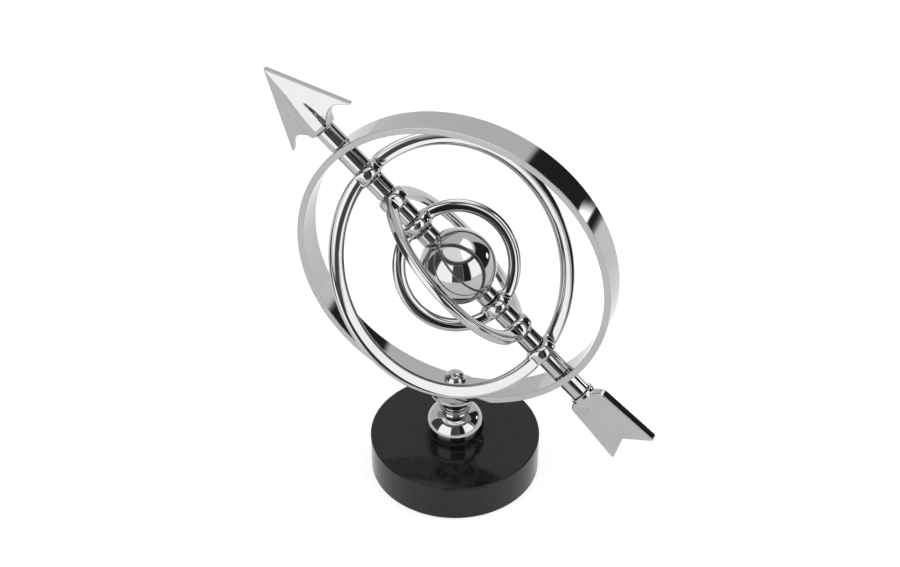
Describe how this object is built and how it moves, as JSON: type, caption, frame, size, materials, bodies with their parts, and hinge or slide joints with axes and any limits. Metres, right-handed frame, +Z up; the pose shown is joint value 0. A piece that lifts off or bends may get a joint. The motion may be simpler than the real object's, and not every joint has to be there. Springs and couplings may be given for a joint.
{
  "type": "armillary sphere",
  "caption": "Polished desk armillary sphere: an arrow axis carries a globe and three turning rings inside an upright ring on a round stone base.",
  "frame": {"origin": "centre of the base's underside, on the surface it stands on", "axes": "+Z up; the upright outer ring and the slanted arrow lie in the XZ plane, with the arrowhead towards -X and up; the outer ring's axis is Y"},
  "size_m": [0.2851, 0.1694, 0.3132],
  "materials": {
    "felt": "black felt, napped",
    "black_stone": "black granite, satin polished, fine grain",
    "plain_steel": "zinc plated steel",
    "polished_stem": "mirror polished plate",
    "polished_outer_ring": "mirror polished plate",
    "polished_rings": "mirror polished plate on a cast ring",
    "polished_globe": "mirror polished plate",
    "polished_castings": "mirror polished plate on a casting",
    "polished_spacers": "mirror polished plate on turned tube"
  },
  "bodies": {
    "stand": {"felt_pad": "felt", "base_disc": "black_stone", "base_washer": "plain_steel", "base_nut": "plain_steel", "stem_stud": "plain_steel", "ring_washer": "plain_steel", "stem_bead": "polished_stem", "stem_neck": "polished_stem", "stem_saucer": "polished_stem", "dome_nut": "polished_stem", "outer_ring": "polished_outer_ring", "axis_rod": "plain_steel", "arrowhead": "polished_castings", "fletching": "polished_castings", "upper_collar": "polished_spacers", "upper_outer_spacer": "polished_spacers", "upper_middle_spacer": "polished_spacers", "upper_inner_spacer": "polished_spacers", "upper_globe_spacer": "polished_spacers", "lower_collar": "polished_spacers", "lower_outer_spacer": "polished_spacers", "lower_middle_spacer": "polished_spacers", "lower_inner_spacer": "polished_spacers", "lower_globe_spacer": "polished_spacers"},
    "large_ring": {"large_ring": "polished_rings"},
    "middle_ring": {"middle_ring": "polished_rings"},
    "inner_ring": {"inner_ring": "polished_rings"},
    "globe": {"globe": "polished_globe"}
  },
  "joints": [
    {"name": "large_ring_turn", "type": "hinge", "parent": "stand", "child": "large_ring", "pos_m": [0, 0, 0.1852], "axis": [-0.7266, 0, 0.6871], "continuous": true},
    {"name": "middle_ring_turn", "type": "hinge", "parent": "stand", "child": "middle_ring", "pos_m": [0, 0, 0.1852], "axis": [-0.7266, 0, 0.6871], "continuous": true},
    {"name": "inner_ring_turn", "type": "hinge", "parent": "stand", "child": "inner_ring", "pos_m": [0, 0, 0.1852], "axis": [-0.7266, 0, 0.6871], "continuous": true},
    {"name": "globe_spin", "type": "hinge", "parent": "stand", "child": "globe", "pos_m": [0, 0, 0.1852], "axis": [-0.7266, 0, 0.6871], "continuous": true}
  ]
}
